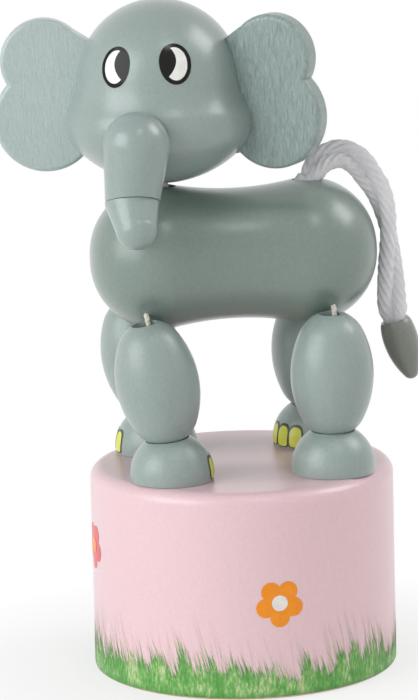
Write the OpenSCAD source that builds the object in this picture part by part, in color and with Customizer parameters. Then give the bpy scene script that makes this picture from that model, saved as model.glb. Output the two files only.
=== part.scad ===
// Elephant push puppet: turned wooden beads strung over a drum with a sprung push disc in its underside.
// Millimetres. The origin is the centre of the drum's lower rim, +Z is up and the elephant faces -X.

/* [Drum] */
// Diameter of the drum
base_d = 50; // [47:0.5:60]
// Height of the drum
base_h = 34; // [30:0.5:44]
// Rounding of the drum's upper edge
base_top_round = 2.1; // [1:0.1:4]
// Rounding of the drum's lower edge
base_foot_round = 1; // [0.4:0.1:2]
// Thickness of the drum's closed top
base_top_t = 8; // [6:0.5:10]
// Thickness of the drum's side wall
base_wall = 4; // [3:0.25:4.5]

/* [Push disc and spring] */
// Thickness of the push disc
disc_t = 8; // [6:0.5:9]
// Depth of the push disc's face inside the rim
disc_recess = 5; // [4:0.5:6]
// Running gap round the push disc
disc_gap = 0.3; // [0.2:0.05:0.6]
// Travel of the push disc up to its stop
disc_travel = 6; // [4:0.5:7]
// Diameter of the stop post on the push disc
post_d = 10; // [6:0.5:12]
// Wire diameter of the return spring
spring_wire = 1.2; // [0.8:0.1:1.4]
// Mean diameter of the return spring
spring_d = 16; // [14:0.5:20]
// Turns of the return spring
spring_turns = 5; // [4:1:6]

/* [Strings] */
// Diameter of the string
string_d = 0.9; // [0.6:0.1:1.1]
// Diameter of the string holes in the drum, the push disc and the torso
string_hole_d = 2.4; // [2:0.1:3]
// Diameter of a string knot
knot_d = 3.4; // [3:0.1:4]
// Depth of a knot's middle below the push disc
knot_drop = 1; // [0.8:0.1:1.2]
// Distance of the front strings from the drum's inner wall, along the elephant
front_inset = 7.1; // [6.5:0.1:8.5]
// Distance of the rear strings from the drum's inner wall, along the elephant
rear_inset = 7.3; // [6.5:0.1:8.5]
// Distance of the strings from the middle, across the elephant
side_y = 11; // [10:0.1:11.4]
// Pull of the string towards the tail at the top of a leg bead
pull_back = 0.7; // [0:0.1:0.8]
// Pull of the string towards the middle at the top of a leg bead
pull_in = 1.3; // [0.8:0.1:1.3]

/* [Feet and legs] */
// Diameter of a foot bead
foot_d = 13.6; // [13:0.2:15]
// Height of a foot bead's widest part above its flat underside
foot_mid = 1; // [0.6:0.1:1.6]
// Height of the lowest point of the seat in a foot bead
seat_h = 5.5; // [5.2:0.1:6]
// Bore of a foot bead
foot_bore_d = 3.4; // [3.2:0.1:3.8]
// Shift of the front feet towards the tail
foot_shift = 1.1; // [0:0.1:1.2]
// Largest diameter of a leg bead
leg_d = 13.5; // [12.5:0.1:14.5]
// Length of a leg bead between its flat ends
leg_len = 19.9; // [18:0.1:23]
// Radius of a leg bead's rounded ends
leg_end_r = 5.6; // [5:0.1:6]
// Bore of a leg bead
leg_bore_d = 4.2; // [4:0.1:4.4]
// Width of the flat lip round a leg bead's bore
leg_lip = 0.15; // [0.1:0.05:0.3]
// Forward lean of the front legs at rest, in degrees
front_lean = 10.5; // [6:0.5:12]
// Forward lean of the rear legs at rest, in degrees
rear_lean = -0.5; // [-3:0.5:3]

/* [Torso] */
// Length of the torso
torso_len = 47; // [44:0.5:54]
// Diameter of the torso's two bulges
torso_d = 23.8; // [23:0.1:25]
// Diameter of the torso's waist
waist_d = 21.3; // [20:0.1:22.4]
// Rounding of the torso's ends
torso_end_r = 11.2; // [10:0.1:11.4]
// Place of the torso's middle along the elephant
torso_x = -0.5; // [-1.5:0.1:0.5]
// Depth of the neck bore in the torso
neck_depth = 5; // [4:0.25:6]
// Place of the tail hole's lower end along the elephant
tail_hole_x = 7.6; // [7:0.1:8.2]
// Depth of the tail hole's lower end below the torso's top
tail_hole_depth = 6.1; // [5.7:0.1:6.5]

/* [Head] */
// Place of the head's axis along the elephant
head_x = -11.5; // [-13:0.1:-10.5]
// Turn of the face from square across the elephant, in degrees
head_yaw = -21; // [-40:1:-15]
// Sideways tilt of the head at rest, in degrees
head_tilt = 1.5; // [0:0.5:3]
// Height of the head
head_h = 29.9; // [29:0.1:32]
// Radius of the forehead's dome
dome_r = 13.2; // [12.5:0.1:14]
// Radius of the head at the cheeks
cheek_r = 15.5; // [15:0.1:16.5]
// Height of the cheeks above the head's lowest point
cheek_h = 10; // [9.5:0.1:11]
// Rounding of the cheeks
cheek_round = 5.5; // [5.4:0.1:6.2]
// Hollow radius between forehead and cheeks
temple_r = 10; // [6:0.5:14]
// Bore of the head and the torso's neck
neck_bore_d = 3.6; // [3.2:0.1:4.2]
// Depth of the bore in the head
head_bore_h = 14; // [12:0.5:16]
// Length of the peg in the head's bore
peg_h = 6; // [4:0.5:8]
// Diameter of the neck string
neck_string_d = 1.2; // [0.9:0.1:1.4]

/* [Ears] */
// Thickness of an ear board
ear_t = 3.8; // [3:0.1:4.5]
// Radius of the ear's upper lobe
ear_top_r = 7; // [6:0.1:8]
// Radius of the ear's lower lobe
ear_low_r = 8.5; // [7.5:0.1:9.2]
// Height of the ear's upper lobe above the head's lowest point
ear_top_h = 20.2; // [19.5:0.1:21]
// Height of the ear's lower lobe above the head's lowest point
ear_low_h = 10.7; // [10:0.1:11.5]
// Distance of the ear lobes' centres from the head's axis
ear_out = 19.6; // [18.5:0.1:20.5]
// Distance of the ear's glued edge from the head's axis
ear_root = 9; // [8:0.1:10]
// Upper end of the ear's glued edge above the head's lowest point
root_high = 21.2; // [20.5:0.1:22]
// Lower end of the ear's glued edge above the head's lowest point
root_low = 4.2; // [4:0.1:5.5]
// Rounding of the ear's edges
ear_round = 0.8; // [0.4:0.1:1.2]
// Forward sweep of the ears, in degrees
ear_sweep = 12; // [5:1:16]
// Place of the ear boards behind the head's axis
ear_back = 3.5; // [2:0.1:4]

/* [Trunk] */
// Diameter of the trunk at its top
trunk_top_d = 10.7; // [10:0.1:11.4]
// Diameter of the trunk at its seam
trunk_seam_d = 8.7; // [8.2:0.1:9.4]
// Length of the upper trunk along its axis
trunk_len = 14.4; // [13:0.1:15.5]
// Distance of the trunk's seam from the head's axis
trunk_out = 17.4; // [17:0.1:18]
// Distance of the trunk's seam from the middle of the face, to the elephant's right
trunk_shift = 0.9; // [0:0.1:1.5]
// Height of the trunk's seam above the head's lowest point
trunk_seam_h = -0.5; // [-1:0.1:0.5]
// Lean of the trunk away from the head, in degrees
trunk_lean = 6; // [3:0.5:8]
// Sideways lean of the trunk's top to the elephant's left, in degrees
trunk_side = 6; // [0:1:8]
// Slope of the mitred seam, in degrees
trunk_mitre = 17; // [10:1:20]
// Turn of the trunk's tip to the elephant's left, in degrees
trunk_twist = 35; // [0:5:50]
// Length of the trunk's tip along its axis
tip_len = 8.2; // [7:0.1:9.5]
// Radius of the trunk tip's rounded nose
tip_nose_r = 3.3; // [2.6:0.1:3.6]
// Diameter of the dowel between trunk and head
dowel_d = 4; // [3:0.5:5]
// Length of the dowel between trunk and head
dowel_len = 9; // [6:0.5:10]
// Height of the dowel above the trunk's seam
dowel_rise = 8; // [6:0.5:9]
// Depth of the dowel beyond the trunk's middle
dowel_depth = 1; // [0:0.25:1.5]

/* [Tail] */
// Diameter of the tail cord
tail_d = 3.8; // [3:0.1:3.9]
// Slope of the tail's hole, in degrees
tail_slope = 53; // [50:1:56]
// Largest diameter of the tail bead
bead_d = 5.8; // [5.6:0.1:6.4]
// Radius of the tail bead's upper end
bead_top_r = 2.75; // [2.6:0.05:2.75]
// Radius of the tail bead's tip
bead_tip_r = 1.3; // [1.1:0.1:1.8]
// Radius of the tail bead's bulging side
bead_side_r = 12.8; // [11:0.2:16]
// Width of the lip round the tail bead's socket
bead_lip = 0.4; // [0.2:0.05:0.5]
// Depth of the cord's socket in the tail bead
bead_socket = 1.6; // [1:0.1:2.4]

/* [Clearances] */
// Gap between a foot bead and the drum
foot_gap = 0.05; // [0.05:0.05:0.3]
// Gap between a leg bead and its seat in the foot bead
ankle_gap = 0.15; // [0.1:0.05:0.4]
// Gap between a leg bead and the torso
hip_gap = 0.2; // [0.15:0.05:0.6]
// Gap between the torso and the head
neck_gap = 0.35; // [0.3:0.05:0.8]
// Glue gap round the ears, the trunk and the pegs
glue_gap = 0.05; // [0.03:0.01:0.1]
// Gap at the ends of the strings and round the tail cord
string_gap = 0.15; // [0.1:0.05:0.2]
// Depth of the neck string's bend inside the head
neck_bend = 3; // [2.5:0.1:3.5]

/* [Hidden] */
$fn = 64;
tiny = 0.01;
overlap = 1;
far = 80;

grey = [0.58, 0.64, 0.63];
pink = [0.92, 0.80, 0.83];
wood = [0.85, 0.70, 0.50];
white = [0.95, 0.94, 0.90];
steel = [0.70, 0.71, 0.73];

// Drum
cavity_r = base_d / 2 - base_wall;
ceiling_z = base_h - base_top_t;
disc_r = cavity_r - disc_gap;
disc_top = disc_recess + disc_t;
post_top = ceiling_z - disc_travel - string_gap;

// Strings
front_x = cavity_r - front_inset;
rear_x = cavity_r - rear_inset;

// Feet and legs; a leg turns about the centre of its round lower end and carries the torso on its round upper end
foot_z = base_h + foot_gap;
leg_mouth_r = leg_bore_d / 2 + leg_lip;
leg_mouth = sqrt(leg_end_r * leg_end_r - leg_mouth_r * leg_mouth_r);
leg_centre = leg_len / 2 - leg_mouth;
leg_side_r = (leg_d * leg_d / 4 + leg_centre * leg_centre - leg_end_r * leg_end_r) / (leg_d - 2 * leg_end_r);
link = 2 * leg_centre;
ankle_z = foot_z + seat_h + ankle_gap + leg_end_r;
FEET = [
    [-front_x, -side_y, foot_shift, front_lean], [-front_x, side_y, foot_shift, front_lean],
    [rear_x, -side_y, 0, rear_lean], [rear_x, side_y, 0, rear_lean]
];

// A point of a leg's own frame, whose origin is the centre of the leg's lower end
function leg_point(f, p) = [
    f[0] + p[0] * cos(f[3]) - p[2] * sin(f[3]), f[1] + p[1], ankle_z + p[0] * sin(f[3]) + p[2] * cos(f[3])
];

// Place of the string across a leg's upper mouth
function pull(f) = [pull_back, f[1] > 0 ? -pull_in : pull_in];

// Lower end of a torso string, just clear of the leg's round end
function hip(f) =
    let (out = leg_end_r + string_gap + string_d / 2, q = pull(f))
    leg_point(f, [q[0], q[1], link + sqrt(out * out - q * q)]);

// Torso, on the rounded tops of the legs
hip_z = ankle_z + link * cos(min(abs(front_lean), abs(rear_lean)));
torso_z = hip_z + sqrt(pow(torso_d / 2 + leg_end_r + hip_gap, 2) - side_y * side_y);
torso_top = torso_z + torso_d / 2;
end_x = torso_len / 2 - torso_end_r;
end_h = torso_d / 2 - torso_end_r;
waist_fall = waist_d / 2 - end_h;
waist_r = (end_x * end_x + waist_fall * waist_fall - torso_end_r * torso_end_r)
    / (2 * (torso_end_r - waist_fall));
waist_end = end_x * waist_r / (waist_r + torso_end_r);
front_join = [head_x, 0, torso_top - neck_depth];
rear_join = [tail_hole_x, 0, torso_top - tail_hole_depth];

// Head
head_z = torso_top + neck_gap;
dome_h = head_h - dome_r;
cheek_c = [cheek_r - cheek_round, cheek_h];
chin_r = (cheek_c[0] * cheek_c[0] + cheek_h * cheek_h - cheek_round * cheek_round)
    / (2 * (cheek_h - cheek_round));
chin_dir = (cheek_c - [0, chin_r]) / norm(cheek_c - [0, chin_r]);
chin_edge = [0, chin_r] + chin_r * chin_dir;
temple_c = circle_meet([0, dome_h], dome_r + temple_r, cheek_c, cheek_round + temple_r);
lobe_corner = 0.7;
dowel_h = trunk_seam_h + dowel_rise;

// Tail route as x, z in the plane through the torso's axis: straight in its hole, then free
tail_dir = [cos(tail_slope), sin(tail_slope)];
TAIL_IN = [3, 5, 7];
TAIL = concat(
    [for (s = TAIL_IN) [tail_hole_x, -tail_hole_depth] + s * tail_dir],
    [
        [13.1, 1.3], [14.4, 2.8], [15.9, 3.5], [17.6, 3.7], [19.2, 3.1], [20.7, 1.9], [22.2, -0.3], [23.5, -2.4],
        [24.4, -5], [25, -8], [25.3, -11.5], [25.4, -15], [25.5, -18.5], [25.6, -21.5], [26, -24.3], [26.45, -25.85]
    ]
);
tail_steps = 2;
tail_end = TAIL[len(TAIL) - 1];
bead_dir = tail_end - TAIL[len(TAIL) - 2];
bead_tilt = atan2(bead_dir[0], -bead_dir[1]);
bead_cut = bead_top_r - sqrt(bead_top_r * bead_top_r - pow(tail_d / 2 + bead_lip, 2));

// Tail bead: heights of its widest part and its tip's centre below its uncut top
bead_side_x = bead_d / 2 - bead_side_r;
bead_wide = bead_top_r + sqrt(pow(bead_side_r - bead_top_r, 2) - bead_side_x * bead_side_x);
bead_tip_h = bead_wide + sqrt(pow(bead_side_r - bead_tip_r, 2) - bead_side_x * bead_side_x);
bead_top_end = bead_wide - (bead_wide - bead_top_r) * bead_side_r / (bead_side_r - bead_top_r);
bead_tip_end = bead_wide + (bead_tip_h - bead_wide) * bead_side_r / (bead_side_r - bead_tip_r);

// Where two circles meet, on the left of the way from the first centre to the second
function circle_meet(a, ra, b, rb) =
    let (d = norm(b - a), u = (b - a) / d, along = (ra * ra - rb * rb + d * d) / (2 * d))
    a + along * u + sqrt(ra * ra - along * along) * [-u[1], u[0]];

// A point on a smooth curve through the points p, at part t of the way from point i to the next
function smooth(p, i, t) =
    let (n = len(p) - 1, a = p[max(i - 1, 0)], b = p[i], c = p[min(i + 1, n)], d = p[min(i + 2, n)])
    0.5 * (2 * b + (c - a) * t + (2 * a - 5 * b + 4 * c - d) * t * t + (3 * b - a - 3 * c + d) * t * t * t);

function unit(v) = v / norm(v);

// Direction of a path of points at point i
function heading(p, i) = unit(p[min(i + 1, len(p) - 1)] - p[max(i - 1, 0)]);

// A round tube along a path of points, as one closed skin of triangles
module tube(path, r, sides, side) {
    rings = len(path);
    points = [
        for (i = [0 : rings - 1])
            let (h = heading(path, i), u = unit(side - (side * h) * h), v = cross(h, u))
                for (k = [0 : sides - 1])
                    path[i] + r * (cos(360 * k / sides) * u + sin(360 * k / sides) * v)
    ];
    faces = concat(
        [for (i = [0 : rings - 2], k = [0 : sides - 1])
            [i * sides + k, (i + 1) * sides + k, i * sides + (k + 1) % sides]],
        [for (i = [0 : rings - 2], k = [0 : sides - 1])
            [i * sides + (k + 1) % sides, (i + 1) * sides + k, (i + 1) * sides + (k + 1) % sides]],
        [for (k = [1 : sides - 2]) [0, k, k + 1]],
        [for (k = [1 : sides - 2], last = [(rings - 1) * sides]) [last, last + k + 1, last + k]]
    );
    polyhedron(points, faces);
}

// A straight round rod between two points
module rod(a, b, d) {
    v = b - a;
    translate(a)
        rotate([0, acos(v[2] / norm(v)), atan2(v[1], v[0])])
            cylinder(d = d, h = norm(v));
}

module at_strings() {
    for (f = FEET)
        translate([f[0], f[1], 0])
            children();
}

// Drum: a turned cup with rounded edges, drilled for four strings
module base_profile() {
    r = base_d / 2;
    square([r - base_top_round, base_h]);
    translate([0, base_foot_round])
        square([r, base_h - base_foot_round - base_top_round]);
    translate([r - base_top_round, base_h - base_top_round])
        circle(base_top_round);
    square([r - base_foot_round, base_foot_round + tiny]);
    translate([r - base_foot_round, base_foot_round])
        circle(base_foot_round);
}

module base_housing() {
    color(pink)
        difference() {
            rotate_extrude()
                base_profile();
            translate([0, 0, -tiny])
                cylinder(r = cavity_r, h = ceiling_z + tiny);
            at_strings()
                cylinder(d = string_hole_d, h = base_h + overlap);
        }
}

module push_button() {
    color(wood)
        difference() {
            union() {
                translate([0, 0, disc_recess])
                    cylinder(r = disc_r, h = disc_t);
                cylinder_between(disc_top - tiny, post_top, post_d);
            }
            at_strings()
                cylinder(d = string_hole_d, h = base_h);
        }
}

module cylinder_between(low, high, d) {
    translate([0, 0, low])
        cylinder(d = d, h = high - low);
}

// Return spring: one wire wound round the stop post, with a short straight end at each end
spring_low = disc_top + spring_wire / 2 + string_gap;
spring_high = ceiling_z - spring_wire / 2 - string_gap;
spring_pitch = (spring_high - spring_low) / spring_turns;
SPRING_STEPS = 8 * spring_turns;
COIL = [
    for (i = [0 : SPRING_STEPS])
        let (a = 45 * i)
            [spring_d / 2 * cos(a), spring_d / 2 * sin(a), spring_low + spring_pitch * a / 360]
];
SPRING_PATH = concat(
    [COIL[0] - [0, spring_wire, 0]], COIL, [COIL[SPRING_STEPS] + [0, spring_wire, 0]]
);
spring_gap = min([
    for (i = [0 : SPRING_STEPS - 6], j = [i + 6 : SPRING_STEPS]) norm(COIL[j] - COIL[i])
]) - spring_wire;
echo(least_spring_gap = spring_gap);

module return_spring() {
    color(steel)
        tube(SPRING_PATH, spring_wire / 2, 6, [0, 0, 1]);
}

module plunger_strings() {
    color(white)
        at_strings()
            cylinder_between(disc_recess, ceiling_z - string_gap, string_d);
}

module string_knots() {
    color(white)
        at_strings()
            intersection() {
                translate([0, 0, disc_recess - knot_drop])
                    sphere(d = knot_d);
                cylinder_between(0, disc_recess - string_gap, knot_d * 2);
            }
}

module foot_strings() {
    color(white)
        at_strings()
            cylinder_between(ceiling_z, ankle_z - leg_end_r - string_gap, string_d);
}

// Foot bead: a ball cut flat below, with a round seat for the leg in its top
module foot(f) {
    color(grey)
        difference() {
            translate([f[0] + f[2], f[1], foot_z])
                difference() {
                    rotate_extrude()
                        intersection() {
                            translate([0, foot_mid])
                                circle(d = foot_d);
                            square(foot_d);
                        }
                    translate([0, 0, -overlap])
                        cylinder(d = foot_bore_d, h = foot_d);
                }
            translate([f[0], f[1], ankle_z])
                sphere(r = leg_end_r + ankle_gap);
        }
}

module foot_front_left() foot(FEET[0]);
module foot_front_right() foot(FEET[1]);
module foot_rear_left() foot(FEET[2]);
module foot_rear_right() foot(FEET[3]);

// Leg bead: a barrel whose long side arc runs into round ends, cut flat at the bore
module leg_profile() {
    side_c = leg_d / 2 - leg_side_r;
    meet = leg_centre * leg_side_r / (leg_side_r - leg_end_r);
    intersection() {
        translate([side_c, 0])
            circle(leg_side_r);
        translate([0, -meet])
            square([leg_d, 2 * meet]);
    }
    for (s = [-1, 1])
        intersection() {
            translate([0, s * leg_centre])
                circle(leg_end_r);
            translate([0, s > 0 ? meet - tiny : -far])
                square([leg_d, far - meet + tiny]);
        }
}

// Frame of a leg: the centre of its lower end, with the leg's lean
module at_leg(f) {
    translate([f[0], f[1], ankle_z])
        rotate([0, -f[3], 0])
            children();
}

module leg(f) {
    color(grey)
        at_leg(f)
            translate([0, 0, link / 2])
                difference() {
                    rotate_extrude()
                        intersection() {
                            leg_profile();
                            translate([0, -leg_len / 2])
                                square([leg_d, leg_len]);
                        }
                    translate([0, 0, -leg_len])
                        cylinder(d = leg_bore_d, h = 2 * leg_len);
                }
}

module leg_front_left() leg(FEET[0]);
module leg_front_right() leg(FEET[1]);
module leg_rear_left() leg(FEET[2]);
module leg_rear_right() leg(FEET[3]);

module leg_string(f) {
    end = leg_mouth - string_gap;
    q = pull(f);
    color(white)
        rod(leg_point(f, [0, 0, -end]), leg_point(f, [q[0], q[1], link + end]), string_d);
}

module leg_string_front_left() leg_string(FEET[0]);
module leg_string_front_right() leg_string(FEET[1]);
module leg_string_rear_left() leg_string(FEET[2]);
module leg_string_rear_right() leg_string(FEET[3]);

// Torso: a peanut turned about the elephant's length, drilled for the strings, the neck and the tail
module torso_profile() {
    difference() {
        translate([0, -waist_end])
            square([torso_d / 2, 2 * waist_end]);
        translate([waist_d / 2 + waist_r, 0])
            circle(waist_r, $fn = 256);
    }
    for (s = [-1, 1]) {
        intersection() {
            translate([end_h, s * end_x])
                circle(torso_end_r);
            translate([0, s > 0 ? 0 : -far])
                square([torso_d, far]);
        }
        translate([0, s > 0 ? end_x - tiny : -torso_len / 2])
            square([end_h, torso_end_r + tiny]);
    }
}

module torso() {
    color(grey)
        difference() {
            translate([torso_x, 0, torso_z])
                rotate([0, 90, 0])
                    rotate_extrude()
                        torso_profile();
            for (f = FEET)
                rod(hip(f), f[0] < 0 ? front_join : rear_join, string_hole_d);
            translate(front_join - [0, 0, overlap])
                cylinder(d = neck_bore_d, h = torso_d / 2);
            rod(rear_join, rear_join + torso_d * [tail_dir[0], 0, tail_dir[1]], tail_d + 2 * string_gap);
        }
}

module torso_strings(a, b, join) {
    color(white) {
        rod(hip(a), join, string_d);
        rod(hip(b), join, string_d);
    }
}

module torso_front_strings() torso_strings(FEET[0], FEET[1], front_join);
module torso_rear_strings() torso_strings(FEET[2], FEET[3], rear_join);

// Tail: a limp cord in a slanted hole, with a teardrop bead on its end
TAIL_PATH = concat(
    [for (i = [0 : len(TAIL) - 2], k = [0 : tail_steps - 1])
        let (p = smooth(TAIL, i, k / tail_steps)) [p[0], 0, torso_top + p[1]]],
    [[tail_end[0], 0, torso_top + tail_end[1]]]
);

module tail_cord() {
    color(white)
        tube(TAIL_PATH, tail_d / 2, 8, [0, 1, 0]);
}

// Teardrop outline, hung from its uncut top: a bulging side arc between a round top and a round tip
module bead_profile() {
    intersection() {
        translate([bead_side_x, -bead_wide])
            circle(bead_side_r, $fn = 256);
        translate([0, -bead_tip_end])
            square([bead_d, bead_tip_end - bead_top_end]);
    }
    intersection() {
        translate([0, -bead_top_r])
            circle(bead_top_r);
        translate([0, -bead_top_end - tiny])
            square(bead_d);
    }
    intersection() {
        translate([0, -bead_tip_h])
            circle(bead_tip_r);
        translate([0, -far])
            square([bead_d, far - bead_tip_end + tiny]);
    }
}

module tail_bead() {
    color(grey)
        translate([tail_end[0], 0, torso_top + tail_end[1]])
            rotate([0, -bead_tilt, 0])
                difference() {
                    translate([0, 0, bead_socket + bead_cut])
                        rotate_extrude()
                            intersection() {
                                bead_profile();
                                translate([0, -far])
                                    square([far, far - bead_cut]);
                            }
                    translate([0, 0, -glue_gap])
                        cylinder(d = tail_d + 2 * glue_gap, h = bead_tip_h);
                }
}

// Head: turned about an upright axis, with a domed forehead over wide cheeks
module head_profile() {
    translate([0, dome_h])
        circle(dome_r);
    translate(cheek_c)
        circle(cheek_round);
    intersection() {
        translate([0, chin_r])
            circle(chin_r);
        square([far, chin_edge[1] - tiny]);
    }
    difference() {
        polygon([
            [0, chin_edge[1] - overlap], [cheek_c[0], chin_edge[1] - overlap], cheek_c, temple_c, [0, dome_h]
        ]);
        translate(temple_c)
            circle(temple_r);
    }
}

module at_head() {
    translate([head_x, 0, head_z])
        rotate([0, -head_tilt, head_yaw])
            children();
}

module head() {
    color(grey)
        at_head()
            difference() {
                rotate_extrude()
                    intersection() {
                        head_profile();
                        square([far, head_h]);
                    }
                translate([0, 0, -overlap])
                    cylinder(d = neck_bore_d, h = head_bore_h + overlap);
                for (s = [-1, 1])
                    at_ear(s)
                        ear_board(glue_gap);
                at_trunk()
                    trunk_body(glue_gap);
                at_dowel()
                    cylinder(d = dowel_d + 2 * glue_gap, h = dowel_len + glue_gap);
            }
}

module head_peg() {
    color(wood)
        at_head()
            cylinder_between(head_bore_h - peg_h, head_bore_h - glue_gap, neck_bore_d - 2 * glue_gap);
}

module neck_string() {
    color(white)
        translate([head_x, 0, 0]) {
            cylinder_between(front_join[2] + string_d, head_z + neck_bend, neck_string_d);
            translate([0, 0, head_z + neck_bend])
                sphere(d = neck_string_d);
        }
}

// Ear: a flat board of two round lobes, glued into a slot in the head
module at_ear(s) {
    mirror([s < 0 ? 1 : 0, 0, 0])
        translate([0, ear_back, 0])
            rotate([0, 0, -ear_sweep])
                children();
}

module round_disc(r, t) {
    rotate([90, 0, 0])
        rotate_extrude() {
            translate([0, -t / 2])
                square([r - ear_round, t]);
            translate([0, ear_round - t / 2])
                square([r, t - 2 * ear_round]);
            for (s = [-1, 1])
                translate([r - ear_round, s * (t / 2 - ear_round)])
                    circle(ear_round);
        }
}

module ear_board(grow) {
    t = ear_t + 2 * grow;
    low = lobe_corner * (ear_low_r + grow);
    high = lobe_corner * (ear_top_r + grow);
    translate([ear_out, 0, ear_top_h])
        round_disc(ear_top_r + grow, t);
    translate([ear_out, 0, ear_low_h])
        round_disc(ear_low_r + grow, t);
    rotate([90, 0, 0])
        translate([0, 0, -t / 2])
            linear_extrude(t)
                polygon([
                    [ear_root - grow, root_low - grow], [ear_out - low, ear_low_h - low],
                    [ear_out, ear_low_h], [ear_out, ear_top_h],
                    [ear_out - high, ear_top_h + high], [ear_root - grow, root_high + grow]
                ]);
}

module ear_left() {
    color(grey)
        at_head()
            at_ear(1)
                ear_board(0);
}

module ear_right() {
    color(grey)
        at_head()
            at_ear(-1)
                ear_board(0);
}

// Trunk: a tapered dowel with a domed top, mitred at its lower end, and a rounded tip glued to the mitre
module at_trunk() {
    translate([-trunk_shift, -trunk_out, trunk_seam_h])
        rotate([-trunk_lean, trunk_side, 0])
            rotate([0, 0, trunk_twist])
                children();
}

module at_mitre() {
    rotate([-trunk_mitre, 0, 0])
        children();
}

module trunk_body(grow) {
    top = trunk_top_d / 2 + grow;
    seam = trunk_seam_d / 2 + grow;
    cone_h = trunk_len - trunk_top_d / 2;
    slope = (top - seam) / cone_h;
    difference() {
        union() {
            translate([0, 0, -cone_h])
                cylinder(r1 = seam - slope * cone_h, r2 = top, h = 2 * cone_h);
            translate([0, 0, cone_h])
                sphere(r = top);
        }
        at_mitre()
            translate([0, 0, -far / 2 + glue_gap / 2])
                cube(far, center = true);
    }
}

module trunk() {
    color(grey)
        at_head()
            difference() {
                at_trunk()
                    trunk_body(0);
                at_dowel()
                    cylinder(d = dowel_d + 2 * glue_gap, h = dowel_len + glue_gap);
            }
}

module trunk_tip() {
    seam = trunk_seam_d / 2;
    nose = tip_nose_r;
    drop = tip_len - nose;
    color(grey)
        at_head()
            at_trunk()
                difference() {
                    rotate([-2 * trunk_mitre, 0, 0])
                        rotate([180, 0, 0])
                            rotate_extrude()
                                intersection() {
                                    union() {
                                        polygon([[0, -drop], [seam, -drop], [seam, 0], [nose, drop], [0, drop]]);
                                        translate([0, drop])
                                            circle(nose);
                                    }
                                    translate([0, -far])
                                        square([far, 2 * far]);
                                }
                    at_mitre()
                        translate([0, 0, far / 2 - glue_gap / 2])
                            cube(far, center = true);
                }
}

// Dowel: across the glue joint of the trunk, square to the head's axis
module at_dowel() {
    translate([0, -trunk_out - dowel_depth, dowel_h])
        rotate([-90, 0, 0])
            children();
}

module trunk_dowel() {
    color(wood)
        at_head()
            at_dowel()
                cylinder(d = dowel_d, h = dowel_len);
}

base_housing();
push_button();
return_spring();
plunger_strings();
string_knots();
foot_strings();
foot_front_left();
foot_front_right();
foot_rear_left();
foot_rear_right();
leg_front_left();
leg_front_right();
leg_rear_left();
leg_rear_right();
leg_string_front_left();
leg_string_front_right();
leg_string_rear_left();
leg_string_rear_right();
torso();
torso_front_strings();
torso_rear_strings();
tail_cord();
tail_bead();
neck_string();
head();
head_peg();
ear_left();
ear_right();
trunk();
trunk_tip();
trunk_dowel();
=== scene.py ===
import collections
import math
import random

import bpy
from mathutils import Matrix, Vector, noise


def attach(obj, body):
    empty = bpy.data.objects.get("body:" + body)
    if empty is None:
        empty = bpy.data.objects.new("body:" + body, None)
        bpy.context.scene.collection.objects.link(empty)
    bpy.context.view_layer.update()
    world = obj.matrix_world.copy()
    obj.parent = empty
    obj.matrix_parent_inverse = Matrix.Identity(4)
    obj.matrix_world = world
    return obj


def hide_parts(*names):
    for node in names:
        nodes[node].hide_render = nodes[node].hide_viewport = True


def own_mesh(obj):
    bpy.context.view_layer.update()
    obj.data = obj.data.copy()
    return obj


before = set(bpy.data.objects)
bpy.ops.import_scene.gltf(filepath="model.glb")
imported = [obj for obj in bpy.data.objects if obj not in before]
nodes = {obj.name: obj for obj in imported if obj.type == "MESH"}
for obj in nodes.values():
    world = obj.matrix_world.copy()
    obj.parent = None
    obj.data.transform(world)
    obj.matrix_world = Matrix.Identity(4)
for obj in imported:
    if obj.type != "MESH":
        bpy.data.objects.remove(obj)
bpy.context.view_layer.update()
scene = bpy.context.scene
MM = 0.001

# Camera, fitted to the outline of the drum in the photo
AZIMUTH, ELEVATION, ROLL = -7.0, 11.324, -1.418
DISTANCE, LENS = 0.7, 219.3
TARGET_RIGHT, TARGET_Z = -4.883 * MM, 52.71 * MM


def add_camera():
    a, e, roll = (math.radians(v) for v in (AZIMUTH, ELEVATION, ROLL))
    back = Vector((math.sin(a) * math.cos(e), -math.cos(a) * math.cos(e), math.sin(e)))
    right = Vector((math.cos(a), math.sin(a), 0))
    up = right.cross(-back)
    x_axis = math.cos(roll) * right + math.sin(roll) * up
    y_axis = back.cross(x_axis)
    target = right * TARGET_RIGHT + Vector((0, 0, TARGET_Z))
    data = bpy.data.cameras.new("camera")
    data.lens = LENS
    data.sensor_width = 36
    data.clip_start, data.clip_end = 0.05, 20
    camera = bpy.data.objects.new("camera", data)
    place = target + back * DISTANCE
    camera.matrix_world = Matrix((
        (x_axis.x, y_axis.x, back.x, place.x),
        (x_axis.y, y_axis.y, back.y, place.y),
        (x_axis.z, y_axis.z, back.z, place.z),
        (0, 0, 0, 1),
    ))
    scene.collection.objects.link(camera)
    scene.camera = camera


add_camera()


# Sizes of the CAD pieces that the drawn pieces follow
BASE_R, BASE_H, CEILING = 25 * MM, 34 * MM, 26 * MM
BASE_TOP_ROUND, BASE_FOOT_ROUND = 2.1 * MM, 1.0 * MM
DISC_Z, KNOT_Z = 5 * MM, 4 * MM
FOOT_Z, FOOT_R, FOOT_MID, FOOT_SHIFT = 34.05 * MM, 6.8 * MM, 1.0 * MM, 1.1 * MM
ANKLE_Z, LINK = 45.3 * MM, 9.64378 * MM
LEG_END_R, LEG_MOUTH = 5.6 * MM, 5.12811 * MM
PULL_BACK, PULL_IN = 0.7 * MM, 1.3 * MM
TORSO_TOP = 80.7103 * MM
HEAD_X, HEAD_Z = -11.5 * MM, 81.0603 * MM
HEAD_YAW, HEAD_TILT = math.radians(-21), math.radians(1.5)
STRING_D, NECK_STRING_D, STRING_GAP = 0.9 * MM, 1.2 * MM, 0.15 * MM
FRONT_LEAN, REAR_LEAN = math.radians(10.5), math.radians(-0.5)
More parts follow.
